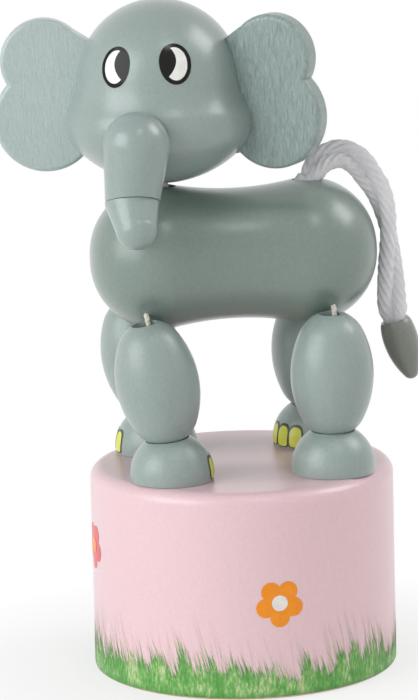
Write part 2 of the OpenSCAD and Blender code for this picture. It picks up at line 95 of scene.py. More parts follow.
CORNERS = {
    "front_left": (-13.9 * MM, -11 * MM, FRONT_LEAN),
    "front_right": (-13.9 * MM, 11 * MM, FRONT_LEAN),
    "rear_left": (13.7 * MM, -11 * MM, REAR_LEAN),
    "rear_right": (13.7 * MM, 11 * MM, REAR_LEAN),
}
TAIL_HOLE = (7.6, -6.1)
TAIL_SLOPE = math.radians(53)
FRONT_JOIN = Vector((HEAD_X, 0, TORSO_TOP - 5 * MM))
REAR_JOIN = Vector((TAIL_HOLE[0] * MM, 0, TORSO_TOP + TAIL_HOLE[1] * MM))


def linear(r, g, b):
    """A colour from its sRGB values."""
    def channel(v):
        v = v / 255
        return v / 12.92 if v <= 0.04045 else ((v + 0.055) / 1.055) ** 2.4
    return (channel(r), channel(g), channel(b), 1)


# Materials
class Nodes:
    """The node tree of a material or a world, built one node at a time."""

    def __init__(self, owner):
        owner.use_nodes = True
        self.tree = owner.node_tree
        self.tree.nodes.clear()

    def add(self, kind, **values):
        node = self.tree.nodes.new(kind)
        for key, value in values.items():
            setattr(node, key, value)
        return node

    def link(self, a, b):
        self.tree.links.new(a, b)

    def feed(self, socket, value):
        """Sets a socket to a number or a colour, or links another socket to it."""
        if isinstance(value, (tuple, float, int)):
            socket.default_value = value
        else:
            self.link(value, socket)

    def coords(self, scale=(1, 1, 1)):
        place = self.add("ShaderNodeTexCoord")
        mapping = self.add("ShaderNodeMapping")
        mapping.inputs["Scale"].default_value = scale
        self.link(place.outputs["Object"], mapping.inputs["Vector"])
        return mapping.outputs["Vector"]

    def axes(self, vector):
        parts = self.add("ShaderNodeSeparateXYZ")
        self.link(vector, parts.inputs["Vector"])
        return [parts.outputs[axis] for axis in "XYZ"]

    def noise(self, vector, scale, detail=4, roughness=0.5, bend=0.0):
        node = self.add("ShaderNodeTexNoise")
        node.inputs["Scale"].default_value = scale
        node.inputs["Detail"].default_value = detail
        node.inputs["Roughness"].default_value = roughness
        node.inputs["Distortion"].default_value = bend
        self.link(vector, node.inputs["Vector"])
        return node.outputs["Fac"]

    def ramp(self, factor, *stops):
        node = self.add("ShaderNodeValToRGB")
        elements = node.color_ramp.elements
        while len(elements) < len(stops):
            elements.new(0.5)
        for element, (place, colour) in zip(elements, stops):
            element.position = place
            element.color = colour
        self.link(factor, node.inputs["Fac"])
        return node.outputs["Color"]

    def span(self, factor, low, high, start=0.0, stop=1.0):
        """Maps the range from start to stop onto the range from low to high."""
        node = self.add("ShaderNodeMapRange")
        node.inputs["From Min"].default_value = start
        node.inputs["From Max"].default_value = stop
        node.inputs["To Min"].default_value = low
        node.inputs["To Max"].default_value = high
        self.link(factor, node.inputs["Value"])
        return node.outputs["Result"]

    def calc(self, operation, *values):
        """Arithmetic on sockets and numbers."""
        node = self.add("ShaderNodeMath", operation=operation)
        for socket, value in zip(node.inputs, values):
            self.feed(socket, value)
        return node.outputs["Value"]

    def mix(self, factor, a, b):
        """Mixes two colours."""
        node = self.add("ShaderNodeMix", data_type="RGBA")
        for name, value in (("Factor", factor), ("A", a), ("B", b)):
            self.feed([s for s in node.inputs if s.name == name and s.enabled][0], value)
        return [s for s in node.outputs if s.enabled][0]

    def blend(self, factor, a, b):
        """Mixes two shaders."""
        node = self.add("ShaderNodeMixShader")
        self.link(factor, node.inputs["Fac"])
        self.link(a, node.inputs[1])
        self.link(b, node.inputs[2])
        return node.outputs["Shader"]

    def bump(self, height, strength, distance, normal=None):
        node = self.add("ShaderNodeBump")
        node.inputs["Strength"].default_value = strength
        node.inputs["Distance"].default_value = distance
        self.link(height, node.inputs["Height"])
        if normal is not None:
            self.link(normal, node.inputs["Normal"])
        return node.outputs["Normal"]


class Surface(Nodes):
    """A material with one Principled shader."""

    def __init__(self, name):
        self.material = bpy.data.materials.new(name)
        super().__init__(self.material)
        self.out = self.add("ShaderNodeOutputMaterial")
        self.shader = self.add("ShaderNodeBsdfPrincipled")
        self.link(self.shader.outputs["BSDF"], self.out.inputs["Surface"])

    def set(self, **values):
        for key, value in values.items():
            self.feed(self.shader.inputs[key.replace("_", " ")], value)


# Scales of the textures, in cells per metre where the coordinates aren't stretched
CLOUD_SCALE, SPECK_SCALE, FUZZ_SCALE, DRUM_SPECK_SCALE = 90, 1900, 1400, 2200
INK_SCALE, COTTON_PATCH_SCALE, WIRE_LINE_SCALE = 700, 260, 900
GRASS_STREAK_SCALE, GRASS_PATCH_SCALE = 2600, 420
FIBRE_SCALE, WOOD_SCALE, WOOD_STRETCH = 9, 3, (400, 30, 400)
SPECK_SHARE = 0.25


def shade(colour, factor):
    return tuple(min(1.0, c * factor) for c in colour[:3]) + (1,)


def paint(name, colour, roughness=0.34, grain=(260, 260, 60), streak=0.3, depth=0.05,
          strength=0.25, coat=(0.9, 0.28), contrast=0.15, bend=0.0, peel=(0.4, 0.08)):
    """Satin paint on wood, with faint clouds, wood fibres and specks.

    grain, streak, contrast and bend draw the fibres; depth and strength raise them. peel is the
    strength and height of the lacquer's ripple. coat is the lacquer's weight and roughness.
    """
    n = Surface(name)
    cloud = n.noise(n.coords(), CLOUD_SCALE, 3)
    fibre = n.noise(n.coords(grain), FIBRE_SCALE, 5, 0.6, bend)
    speck = n.noise(n.coords(), SPECK_SCALE, 2)
    clouds = n.ramp(cloud, (0.3, shade(colour, 0.96)), (0.7, shade(colour, 1.04)))
    fibres = n.ramp(fibre, (0.3, shade(colour, 1 - contrast)), (0.7, shade(colour, 1 + contrast)))
    specks = n.ramp(speck, (0.35, shade(colour, 0.86)), (0.65, shade(colour, 1.12)))
    tone = n.mix(SPECK_SHARE, n.mix(streak, clouds, fibres), specks)
    n.set(Base_Color=tone, Roughness=n.span(cloud, roughness - 0.03, roughness + 0.05))
    ripple = n.bump(fibre, strength, depth * MM)
    n.set(Normal=n.bump(speck, peel[0], peel[1] * MM, ripple))
    n.set(Coat_Weight=coat[0], Coat_Roughness=coat[1], Specular_IOR_Level=0.3)
    return n.material


def wood_grain(n):
    """Long fibres along Y."""
    return n.noise(n.coords(WOOD_STRETCH), WOOD_SCALE, 6, 0.65)


def plain_wood(name, colour):
    """Bare sanded wood with long darker fibres."""
    n = Surface(name)
    grain = wood_grain(n)
    n.set(Base_Color=n.ramp(grain, (0.25, shade(colour, 0.7)), (0.6, colour),
                            (0.8, shade(colour, 1.1))))
    n.set(Roughness=n.span(grain, 0.55, 0.75))
    n.set(Normal=n.bump(grain, 0.4, 0.08 * MM))
    return n.material


def cotton(name, colour):
    """Soft white cotton: fuzzy tone, no gloss, a sheen at the edge."""
    n = Surface(name)
    fuzz = n.noise(n.coords(), FUZZ_SCALE, 6, 0.7)
    patch = n.noise(n.coords(), COTTON_PATCH_SCALE, 3)
    tone = n.mix(0.5, n.ramp(fuzz, (0.3, shade(colour, 0.82)), (0.65, colour)),
                 n.ramp(patch, (0.3, shade(colour, 0.9)), (0.7, shade(colour, 1.04))))
    n.set(Base_Color=tone, Roughness=0.95, Sheen_Weight=0.35, Sheen_Roughness=0.6,
          Specular_IOR_Level=0.15)
    n.set(Normal=n.bump(fuzz, 0.7, 0.25 * MM))
    return n.material


def ink(name, colour, roughness=0.3, coat=0.2, gloss=0.5):
    """Printed or brushed colour on the lacquer, with a little unevenness."""
    n = Surface(name)
    patch = n.noise(n.coords(), INK_SCALE, 4)
    n.set(Base_Color=n.ramp(patch, (0.3, shade(colour, 0.93)), (0.7, shade(colour, 1.05))))
    n.set(Roughness=n.span(patch, roughness - 0.03, roughness + 0.06))
    n.set(Coat_Weight=coat, Coat_Roughness=0.2, Specular_IOR_Level=gloss)
    return n.material


def wire(name):
    """Drawn spring wire with fine lines."""
    n = Surface(name)
    line = n.noise(n.coords((1, 1, 8)), WIRE_LINE_SCALE, 3)
    n.set(Base_Color=n.ramp(line, (0.3, linear(150, 152, 156)), (0.7, linear(205, 206, 210))))
    n.set(Metallic=1.0, Roughness=n.span(line, 0.22, 0.38))
    return n.material


def grass_paint():
    """Dry-brushed green with pale upright streaks, darker along the foot."""
    n = Surface("grass_paint")
    streak = n.noise(n.coords((1, 1, 0.3)), GRASS_STREAK_SCALE, 3, 0.6)
    patch = n.noise(n.coords((1, 1, 0.35)), GRASS_PATCH_SCALE, 3)
    brushed = n.calc("MULTIPLY_ADD", streak, 0.55, n.calc("MULTIPLY", patch, 0.45))
    tone = n.ramp(brushed, (0.39, linear(82, 152, 66)), (0.48, linear(102, 170, 82)),
                  (0.545, linear(142, 190, 112)), (0.63, linear(200, 212, 164)))
    height = n.axes(n.coords())[2]
    low = n.span(height, 0.75, 0.0, 0.4 * MM, 1.5 * MM)
    n.set(Base_Color=n.mix(low, tone, linear(72, 140, 64)), Roughness=0.42)
    return n.material


# The drum's wood is bare within this radius and below this height, and up to the edge's height
BARE_R, BARE_TOP, BARE_EDGE = 22 * MM, 30 * MM, 0.45 * MM


def drum_paint(colour):
    """Satin paint outside; bare wood at the foot's edge and in the hollow."""
    n = Surface("drum_paint")
    speck = n.noise(n.coords(), DRUM_SPECK_SCALE, 3)
    tone = n.ramp(speck, (0.3, shade(colour, 0.965)), (0.7, shade(colour, 1.025)))
    x, y, z = n.axes(n.coords())
    radius = n.calc("POWER", n.calc("MULTIPLY_ADD", x, x, n.calc("MULTIPLY", y, y)), 0.5)
    inside, under = n.calc("LESS_THAN", radius, BARE_R), n.calc("LESS_THAN", z, BARE_TOP)
    edge = n.calc("LESS_THAN", z, BARE_EDGE)
    bare = n.calc("MAXIMUM", n.calc("MULTIPLY", inside, under), edge)
    wood = n.ramp(wood_grain(n), (0.3, linear(190, 150, 112)), (0.7, linear(226, 194, 152)))
    n.set(Base_Color=n.mix(bare, tone, wood), Roughness=0.34)
    n.set(Normal=n.bump(speck, 0.15, 0.05 * MM))
    n.set(Coat_Weight=0.3, Coat_Roughness=0.2)
    return n.material


GREY_PAINT = paint("grey_paint", linear(150, 165, 162))
EAR_PAINT = paint("ear_paint", linear(178, 193, 192), 0.42, grain=(330, 330, 60), streak=0.4,
                  depth=0.2, strength=0.6, contrast=0.2, bend=0.6)
# A darker copy of the ear paint, with stronger grain, for the ear on the torso's side of the head:
# painted shade of the head on that ear.
EAR_PAINT_WITH_PAINTED_SHADE = paint("ear_paint_painted_shade", linear(152, 171, 168), 0.45, grain=(300, 300, 66),
                   streak=0.8, depth=0.5, strength=1.0, contrast=0.34, bend=0.9)
# The torso's paint is darker and greener than the grey of the other beads: painted shade for the
# head's shadow over the torso and the dark space above it.
TORSO_PAINT_WITH_PAINTED_SHADE = paint("torso_paint_painted_shade", linear(126, 142, 135))
LEG_PAINT = paint("leg_paint", linear(150, 165, 161), 0.4, depth=0.12, strength=0.5,
                  coat=(0.9, 0.35), bend=0.4, peel=(0.5, 0.1))
BEAD_PAINT = paint("bead_paint", linear(128, 134, 124), 0.45)
BARE_WOOD = plain_wood("bare_wood", linear(222, 186, 140))
COTTON = cotton("tail_cotton", linear(243, 241, 246))
STRING = cotton("string_cotton", linear(240, 236, 226))
WIRE = wire("spring_wire")
BLACK = ink("eye_black", linear(20, 20, 18), 0.14, 0.0, 0.22)
WHITE = ink("eye_white", linear(244, 244, 240))
LIME = ink("nail_lime", linear(222, 226, 84), 0.32)
NAIL_LINE = ink("nail_line", linear(58, 62, 34), 0.35)
ORANGE = ink("flower_orange", linear(255, 152, 30), 0.3, 0.1, 0.3)
PALE = ink("flower_pale", linear(243, 236, 232))
CORAL = ink("flower_coral", linear(232, 64, 74))
FAINT = ink("grass_faint", linear(218, 200, 192), 0.4)
GRASS = grass_paint()
DRUM_PAINT = drum_paint(linear(238, 204, 211))


def wear(node, material):
    """Gives a node of the CAD one material."""
    mesh = nodes[node].data
    mesh.materials.clear()
    mesh.materials.append(material)


def centre_x(node):
    """The middle of a node's box along X."""
    corners = [nodes[node].matrix_world @ Vector(c) for c in nodes[node].bound_box]
    return sum(c.x for c in corners) / len(corners)


for name in nodes:
    if name == "base_housing":
        wear(name, DRUM_PAINT)
    elif name in ("push_button", "head_peg", "trunk_dowel"):
        wear(name, BARE_WOOD)
    elif name == "tail_bead":
        wear(name, BEAD_PAINT)
    elif name.startswith("ear_"):
        # The ear on the torso's side of the head takes the darker copy of the ear paint: painted
        # shade of the head.
        wear(name, EAR_PAINT if centre_x(name) < HEAD_X else EAR_PAINT_WITH_PAINTED_SHADE)
    elif name.startswith(("leg_", "foot_")) and "string" not in name:
        wear(name, LEG_PAINT)
    elif name == "torso":
        # The torso takes the darker paint, which is painted shade.
        wear(name, TORSO_PAINT_WITH_PAINTED_SHADE)
    elif name == "return_spring":
        wear(name, WIRE)
    elif name == "tail_cord":
        wear(name, COTTON)
    elif "string" in name:
        wear(name, STRING)
    else:
        wear(name, GREY_PAINT)


# Mesh helpers
def mesh_object(name, points, faces, material, slot, body):
    """A smooth mesh that rides on a body."""
    mesh = bpy.data.meshes.new(name)
    mesh.from_pydata([tuple(p) for p in points], [], faces)
    mesh.materials.append(material)
    mesh.validate()
    mesh.shade_smooth()
    made = bpy.data.objects.new(name, mesh)
    scene.collection.objects.link(made)
    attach(made, body)
    return made


def ring_faces(rings, sides, start=0, caps=True):
    """Faces between rings of points that lie one after the other."""
    faces = []
    for i in range(rings - 1):
        for k in range(sides):
            a, b = start + i * sides + k, start + i * sides + (k + 1) % sides
            faces.append((a, b, b + sides, a + sides))
    if caps:
        faces.append(tuple(start + k for k in reversed(range(sides))))
        faces.append(tuple(start + (rings - 1) * sides + k for k in range(sides)))
    return faces


def smooth_path(points, steps):
    """Points on a smooth curve through the given ones."""
    path = []
    last = len(points) - 1
    for i in range(last):
        a, b = points[max(i - 1, 0)], points[i]
        c, d = points[i + 1], points[min(i + 2, last)]
        for k in range(steps):
            t = k / steps
            path.append(0.5 * (2 * b + (c - a) * t + (2 * a - 5 * b + 4 * c - d) * t ** 2
                               + (3 * b - a - 3 * c + d) * t ** 3))
    return path + [points[last]]


def heading(path, i):
    """The direction of a path at its point i."""
    return (path[min(i + 1, len(path) - 1)] - path[max(i - 1, 0)]).normalized()


def strand(points, faces, path, side, radius, sides):
    """Adds a tube along a path. radius(i, angle) gives its radius."""
    start = len(points)
    for i, p in enumerate(path):
        h = heading(path, i)
        u = (side - side.dot(h) * h).normalized()
        v = h.cross(u)
        for k in range(sides):
            angle = 2 * math.pi * k / sides
            points.append(p + radius(i, angle) * (math.cos(angle) * u + math.sin(angle) * v))
    faces.extend(ring_faces(len(path), sides, start))


# Tail: two soft plies laid round each other, on the cord's route in the CAD
HOLE_POINTS = [(TAIL_HOLE[0] + s * math.cos(TAIL_SLOPE), TAIL_HOLE[1] + s * math.sin(TAIL_SLOPE))
               for s in (3, 5, 7)]
FREE_POINTS = [
    (13.1, 1.3), (14.4, 2.8), (15.9, 3.5), (17.6, 3.7), (19.2, 3.1), (20.7, 1.9),
    (22.2, -0.3), (23.5, -2.4), (24.4, -5), (25, -8), (25.3, -11.5), (25.4, -15),
    (25.5, -18.5), (25.6, -21.5), (26, -24.3), (26.45, -25.85),
]
ROUTE = [Vector((x * MM, 0, TORSO_TOP + z * MM)) for x, z in HOLE_POINTS + FREE_POINTS]
ROUTE_STEPS = 18
PLY_R, PLY_OFF, PLY_SIDES = 1.22 * MM, 1.06 * MM, 42
HELD_R, HELD_OFF = 1.08 * MM, 0.84 * MM
HELD_LOW, HELD_HIGH, EASE = 4.6 * MM, 1.9 * MM, 1.6 * MM
TWIST_START, TWIST = -105, 324
YARNS, YARN_LAY, YARN_H = 7, 1.9 * MM, 0.13 * MM
FUZZ_ALONG, FUZZ_ROUND, FUZZ_APART, FUZZ_H = 900, 1.7, 7, 0.08 * MM
CORE_R, CORE_END, CORE_TAPER, CORE_SIDES = 1.85 * MM, HELD_LOW + 0.5 * MM, 0.8 * MM, 26


def add_tail():
    """Two ribbed plies, and a core that fills the torso's hole."""
    route = smooth_path(ROUTE, ROUTE_STEPS)
    far = [0.0]
    for a, b in zip(route, route[1:]):
        far.append(far[-1] + (b - a).length)
    total = far[-1]

    def free(i):
        """0 where the torso or the bead holds the plies, 1 where they are free."""
        t = min((far[i] - HELD_LOW) / EASE, (total - HELD_HIGH - far[i]) / EASE)
        t = max(0.0, min(1.0, t))
        return t * t * (3 - 2 * t)

    points, faces = [], []
    sideways = Vector((0, -1, 0))
    for ply in (0, 1):
        path = []
        for i, p in enumerate(route):
            outward = sideways.cross(heading(route, i))
            turn = math.radians(TWIST_START + TWIST * far[i] / total) + math.pi * ply
            off = HELD_OFF + (PLY_OFF - HELD_OFF) * free(i)
            path.append(p + off * (math.cos(turn) * outward + math.sin(turn) * sideways))

        def radius(i, angle, ply=ply):
            yarn = math.sin(YARNS * angle + 2 * math.pi * far[i] / YARN_LAY)
            around = Vector((math.cos(angle), math.sin(angle), ply * FUZZ_APART))
            fuzz = noise.noise((route[i] * FUZZ_ALONG + around) * FUZZ_ROUND)
            return HELD_R + free(i) * (PLY_R - HELD_R + YARN_H * yarn + FUZZ_H * fuzz)

        strand(points, faces, path, Vector((0, 1, 0)), radius, PLY_SIDES)

    def core_radius(i, angle):
        return CORE_R * min(1.0, max(0.2, (CORE_END - far[i]) / CORE_TAPER))

    core = [p for p, s in zip(route, far) if s < CORE_END]
    strand(points, faces, core, Vector((0, 1, 0)), core_radius, CORE_SIDES)
    tail = mesh_object("tail_rope", points, faces, COTTON, "tail_cotton", "torso")
    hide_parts("tail_cord")


add_tail()


# Strings: three thin plies twisted together, in shares of the string's diameter
THREAD_PLY_R, THREAD_OFF, THREAD_LAY, THREAD_PLIES = 0.27, 0.23, 3.2, 3
THREAD_STEP, THREAD_SIDES = 0.25 * MM, 7


def thread(name, spans, d, body, replaced):
    """A string of straight spans, which stands for a node of the CAD."""
    points, faces = [], []
    ply_r, off, lay = d * THREAD_PLY_R, d * THREAD_OFF, d * THREAD_LAY
    for a, b in spans:
        length = (b - a).length
        h = (b - a) / length
        side = Vector((1, 0, 0)) if abs(h.x) < 0.7 else Vector((0, 1, 0))
        u = (side - side.dot(h) * h).normalized()
        v = h.cross(u)
        steps = max(8, int(length / THREAD_STEP))
        for ply in range(THREAD_PLIES):
            path = []
            for i in range(steps + 1):
                turn = 2 * math.pi * (i / steps * length / lay + ply / THREAD_PLIES)
                round_axis = math.cos(turn) * u + math.sin(turn) * v
                path.append(a + h * (length * i / steps) + off * round_axis)
            strand(points, faces, path, u, lambda i, angle: ply_r, THREAD_SIDES)
    made = mesh_object(name, points, faces, STRING, "string", body)
    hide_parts(replaced)
    return made


def string_point(corner, z):
    """A point of a string below its leg."""
    x, y, _ = CORNERS[corner]
    return Vector((x, y, z))


def leg_point(corner, x, y, z):
    """A point in a leg's own frame, whose origin is the centre of the leg's round lower end."""
    px, py, lean = CORNERS[corner]
    return Vector((px + x * math.cos(lean) - z * math.sin(lean), py + y,
                   ANKLE_Z + x * math.sin(lean) + z * math.cos(lean)))


def hip_point(corner, out):
    """The string's place over a leg, at a distance from the centre of the leg's round upper end."""
    across = -PULL_IN if CORNERS[corner][1] > 0 else PULL_IN
    rise = math.sqrt(out ** 2 - PULL_BACK ** 2 - PULL_IN ** 2)
    return leg_point(corner, PULL_BACK, across, LINK + rise)


HIP_GAP, KNOT_REACH, NECK_HOLD = 0.35 * MM, 0.6 * MM, 3 * MM
LEG_THREAD_OUT, TORSO_THREAD_OUT = LEG_END_R + STRING_GAP, LEG_END_R + HIP_GAP
# A leg's string turns at the leg's mouth and ends in the torso, deep enough for every lean.
# The corner is cut off at these shares of the spans before and past it.
BEND_IN, BEND_UP = 3.8 * MM, 1.0 * MM
CORNER_BEFORE, CORNER_PAST = 0.03, 0.15
# Share of the way into the torso at which its own strings start, out of sight
TORSO_THREAD_START = 0.2

plunger_spans = [(string_point(c, DISC_Z - KNOT_REACH), string_point(c, CEILING - STRING_GAP))
                 for c in CORNERS]
plunger = thread("plunger_threads", plunger_spans, STRING_D, "base", "plunger_strings")
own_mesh(plunger)
foot_top = ANKLE_Z - LEG_END_R - STRING_GAP
foot_spans = [(string_point(c, CEILING), string_point(c, foot_top)) for c in CORNERS]
thread("foot_threads", foot_spans, STRING_D, "base", "foot_strings")
for corner in CORNERS:
    low = leg_point(corner, 0, 0, STRING_GAP - LEG_MOUTH)
    hip = hip_point(corner, LEG_THREAD_OUT)
    inside = hip + Vector((0, -math.copysign(BEND_IN, hip.y), BEND_UP))
    before, past = hip.lerp(low, CORNER_BEFORE), hip.lerp(inside, CORNER_PAST)
    thread("leg_thread_" + corner, [(low, before), (before, past), (past, inside)], STRING_D,
           "leg_" + corner, "leg_string_" + corner)
for end, meeting in (("front", FRONT_JOIN), ("rear", REAR_JOIN)):
    spans = []
    for side in ("_left", "_right"):
        start = hip_point(end + side, TORSO_THREAD_OUT)
        spans.append((start.lerp(meeting, TORSO_THREAD_START), meeting))
    thread("torso_threads_" + end, spans, STRING_D, "torso", "torso_" + end + "_strings")
neck_low = Vector((HEAD_X, 0, FRONT_JOIN.z + STRING_D))
neck_high = Vector((HEAD_X, 0, HEAD_Z + NECK_HOLD + NECK_STRING_D / 2))
thread("neck_thread", [(neck_low, neck_high)], NECK_STRING_D, "neck", "neck_string")


# Torso round the string holes: paint closes on the strings there
TORSO_X, TORSO_Z = -0.5 * MM, 68.8103 * MM
TORSO_END_X, TORSO_END_H, TORSO_END_R = 12.3 * MM, 0.7 * MM, 11.2 * MM
FILM_R, FILM_LIFT, FILM_RINGS, FILM_STEPS = 1.55 * MM, 0.03 * MM, 4, 32
SEARCH_STEP = 0.002


def torso_radius(x):
    """The torso's radius over one of its two bulges and on the rounding of its end."""
    beyond = max(0.0, abs(x - TORSO_X) - TORSO_END_X)
    return TORSO_END_H + math.sqrt(TORSO_END_R ** 2 - beyond ** 2)


def add_films():
    """Paint over the edge of each string hole in the torso, so that only the string comes out."""
    for corner in CORNERS:
        start = hip_point(corner, TORSO_THREAD_OUT)
        along = (FRONT_JOIN if "front" in corner else REAR_JOIN) - start
        t, place = 0.0, start
        while math.hypot(place.y, place.z - TORSO_Z) > torso_radius(place.x):
            t += SEARCH_STEP
            place = start + t * along
        around = math.atan2(place.y, TORSO_Z - place.z)
        points = []
        for i in range(FILM_RINGS + 1):
            for k in range(FILM_STEPS):
                a = 2 * math.pi * k / FILM_STEPS
                reach = FILM_R * i / FILM_RINGS
                x = place.x + reach * math.cos(a)
                r = torso_radius(x) + FILM_LIFT
                turn = around + reach * math.sin(a) / r
                points.append(Vector((x, r * math.sin(turn), TORSO_Z - r * math.cos(turn))))
        faces = ring_faces(FILM_RINGS + 1, FILM_STEPS, caps=False)
        faces = [tuple(reversed(face)) for face in faces]
        # The films take the torso's darker paint, which is painted shade.
        mesh_object("hip_film_" + corner, points, faces, TORSO_PAINT_WITH_PAINTED_SHADE, "grey_paint", "torso")


add_films()


# Knots
KNOT_LOOP, KNOT_STRING_R, KNOT_STEPS, KNOT_SIDES = 0.36 * MM, 0.42 * MM, 60, 8


def add_knots():
    """Small overhand knots that hold the strings under the push disc."""
    points, faces = [], []
    for corner in CORNERS:
        centre = string_point(corner, KNOT_Z)
        path = []
        for i in range(KNOT_STEPS + 1):
            t = 2 * math.pi * i / KNOT_STEPS
            loop = Vector((math.sin(t) + 2 * math.sin(2 * t), math.cos(t) - 2 * math.cos(2 * t),
                           -1.3 * math.sin(3 * t)))
            path.append(centre + loop * KNOT_LOOP)
        side = Vector((0.3, 0.2, 1))
        strand(points, faces, path, side, lambda i, angle: KNOT_STRING_R, KNOT_SIDES)
    made = mesh_object("knots", points, faces, STRING, "string", "button")
    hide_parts("string_knots")


add_knots()


# Spring
SPRING_LOW, SPRING_HIGH, SPRING_R, WIRE_R = 13.75 * MM, 25.25 * MM, 8 * MM, 0.6 * MM
SPRING_TURNS, TURN_STEPS, WIRE_SIDES = 5, 40, 12


def add_spring():
    """The return spring: one round wire."""
    path = []
    steps = SPRING_TURNS * TURN_STEPS
    for i in range(steps + 1):
        a = 2 * math.pi * i / TURN_STEPS
        z = SPRING_LOW + (SPRING_HIGH - SPRING_LOW) * i / steps
        path.append(Vector((SPRING_R * math.cos(a), SPRING_R * math.sin(a), z)))
    points, faces = [], []
    strand(points, faces, path, Vector((0, 0, 1)), lambda i, angle: WIRE_R, WIRE_SIDES)
    made = mesh_object("spring_coil", points, faces, WIRE, "spring_steel", "base")
    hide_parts("return_spring")
    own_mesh(made)


add_spring()


# Turned outlines, as radius and height against the distance along the outline
LEAST_R = 1 * MM


class Outline:
    """A turned outline from r, h points, read by arc length."""

    def __init__(self, pairs, frame_matrix):
        self.pairs = pairs
        self.matrix = frame_matrix
        self.far = [0.0]
        for (r0, h0), (r1, h1) in zip(pairs, pairs[1:]):
            self.far.append(self.far[-1] + math.hypot(r1 - r0, h1 - h0))

    def at_height(self, h):
        """The distance along the outline at a height."""
        for i, (r, z) in enumerate(self.pairs):
            if z >= h:
                return self.far[i]
        return self.far[-1]

    def piece(self, s):
        """The number of the straight piece of the outline that s lies on."""
        i = 0
        while i < len(self.far) - 2 and self.far[i + 1] < s:
            i += 1
        return i

    def point(self, angle, s, lift):
        """A point at an angle from -Y towards +X, at s along the outline, lifted off it."""
        i = self.piece(s)
        (r0, h0), (r1, h1) = self.pairs[i], self.pairs[i + 1]
        step = self.far[i + 1] - self.far[i]
        t = (s - self.far[i]) / step
        r, h = r0 + (r1 - r0) * t, h0 + (h1 - h0) * t
        nr, nh = (h1 - h0) / step, -(r1 - r0) / step
        r, h = r + nr * lift, h + nh * lift
        return self.matrix @ Vector((r * math.sin(angle), -r * math.cos(angle), h))

    def map(self, angle0, s0, u, v, lift):
        """A point at u across and v along the outline from a middle point."""
        s = s0 + v
        radius = max(self.pairs[self.piece(s)][0], LEAST_R)
        return self.point(angle0 + u / radius, s, lift)


def arc(centre, r, start, stop, steps=40):
    """Points of an arc, with its angles in degrees."""
    cx, cy = centre
    angles = [math.radians(start + (stop - start) * i / steps) for i in range(steps + 1)]
    return [(cx + r * math.cos(a), cy + r * math.sin(a)) for a in angles]


WALL_STEPS = 60


def drum_outline():
    """The drum's side from the foot's edge to the rounding at the top."""
    r = BASE_R
    pairs = [(r - BASE_FOOT_ROUND, 0.0)]
    pairs += arc((r - BASE_FOOT_ROUND, BASE_FOOT_ROUND), BASE_FOOT_ROUND, -90, 0, 12)[1:]
    wall = BASE_H - BASE_TOP_ROUND - BASE_FOOT_ROUND
    pairs += [(r, BASE_FOOT_ROUND + wall * i / WALL_STEPS) for i in range(1, WALL_STEPS + 1)]
    return Outline(pairs, Matrix.Identity(4))


def head_outline():
    """The head's chin, cheek, temple and dome: arcs that run into one another, in millimetres."""
    dome_r, dome_h = 13.2, 29.9 - 13.2
    cheek_r, cheek_h, cheek_round, temple_r = 15.5, 10.0, 5.5, 10.0
    cx, cy = cheek_r - cheek_round, cheek_h
    chin_r = (cx * cx + cy * cy - cheek_round ** 2) / (2 * (cy - cheek_round))
    gap = math.hypot(cx, cy - dome_h)
    ra, rb = dome_r + temple_r, cheek_round + temple_r
    along = (ra * ra - rb * rb + gap * gap) / (2 * gap)
    ux, uy = cx / gap, (cy - dome_h) / gap
    side = math.sqrt(ra * ra - along * along)
    tx, ty = along * ux - side * uy, dome_h + along * uy + side * ux
    chin_a = math.degrees(math.atan2(cy - chin_r, cx))
    cheek_a = math.degrees(math.atan2(ty - cy, tx - cx))
    dome_a = math.degrees(math.atan2(ty - dome_h, tx))
    pairs = arc((0, chin_r), chin_r, -90, chin_a)
    pairs += arc((cx, cy), cheek_round, chin_a, cheek_a)[1:]
    pairs += arc((tx, ty), temple_r, cheek_a + 180, dome_a + 180)[1:]
    pairs += arc((0, dome_h), dome_r, dome_a, 89.9, 80)[1:]
    place = (Matrix.Translation((HEAD_X, 0, HEAD_Z)) @ Matrix.Rotation(HEAD_YAW, 4, "Z")
             @ Matrix.Rotation(-HEAD_TILT, 4, "Y"))
    return Outline([(r * MM, h * MM) for r, h in pairs], place)


FOOT_SEAT_ANGLE = 56


def foot_outline(corner):
    """A foot's dome, from its flat underside up to the seat."""
    low = -math.degrees(math.asin(FOOT_MID / FOOT_R))
    pairs = arc((0, FOOT_MID), FOOT_R, low, FOOT_SEAT_ANGLE)
    x, y, lean = CORNERS[corner]
    if lean == FRONT_LEAN:
        x += FOOT_SHIFT
    return Outline(pairs, Matrix.Translation((x, y, FOOT_Z)))


def star_patch(outline, angle0, s0, reach, lift, rings, steps):
    """A patch on a turned surface, round a middle point. reach(angle) gives its edge."""
    points, faces = [outline.map(angle0, s0, 0, 0, lift)], []
    for i in range(1, rings + 1):
        for k in range(steps):
            a = 2 * math.pi * k / steps
            r = reach(a) * i / rings
            points.append(outline.map(angle0, s0, r * math.cos(a), r * math.sin(a), lift))
    for k in range(steps):
        faces.append((0, 1 + k, 1 + (k + 1) % steps))
    for i in range(rings - 1):
        for k in range(steps):
            a, b = 1 + i * steps + k, 1 + i * steps + (k + 1) % steps
            faces.append((a, a + steps, b + steps, b))
    return points, faces


def oval(wide, tall):
    """An oval's edge."""
    def reach(a):
        return 1 / math.hypot(math.cos(a) / (wide / 2), math.sin(a) / (tall / 2))
    return reach


def circle_edge(a, centre, r):
    """Farthest crossing of a ray from the middle with a circle, or 0."""
    along = centre[0] * math.cos(a) + centre[1] * math.sin(a)
    rest = r * r - (centre[0] ** 2 + centre[1] ** 2 - along * along)
    return along + math.sqrt(rest) if rest > 0 and along + math.sqrt(rest) > 0 else 0.0


